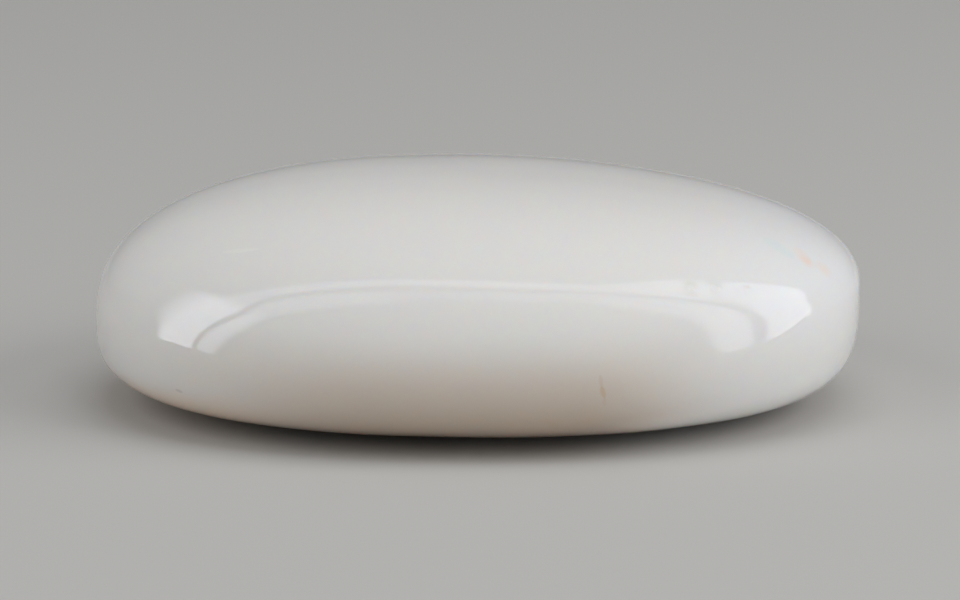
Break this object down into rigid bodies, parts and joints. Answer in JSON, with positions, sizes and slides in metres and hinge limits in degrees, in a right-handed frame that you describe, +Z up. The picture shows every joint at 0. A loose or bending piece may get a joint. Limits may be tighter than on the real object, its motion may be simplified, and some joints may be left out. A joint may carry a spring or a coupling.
{
  "type": "opal cabochon",
  "caption": "Polished oval white opal stone with a domed crown and a shallower domed belly, a loose gem that lies on a small flat.",
  "frame": {"origin": "on the surface it rests on, below the middle of the bounding box", "axes": "+X along the stone's length, towards its fuller, higher end; +Y across its width, away from the picture's camera; +Z up, out of the crown"},
  "size_m": [0.016, 0.012, 0.0049],
  "materials": {
    "opal_stone": "polished, milky white, slightly translucent, warmer towards the belly"
  },
  "bodies": {
    "root": {"opal_stone": "opal_stone"}
  },
  "joints": []
}
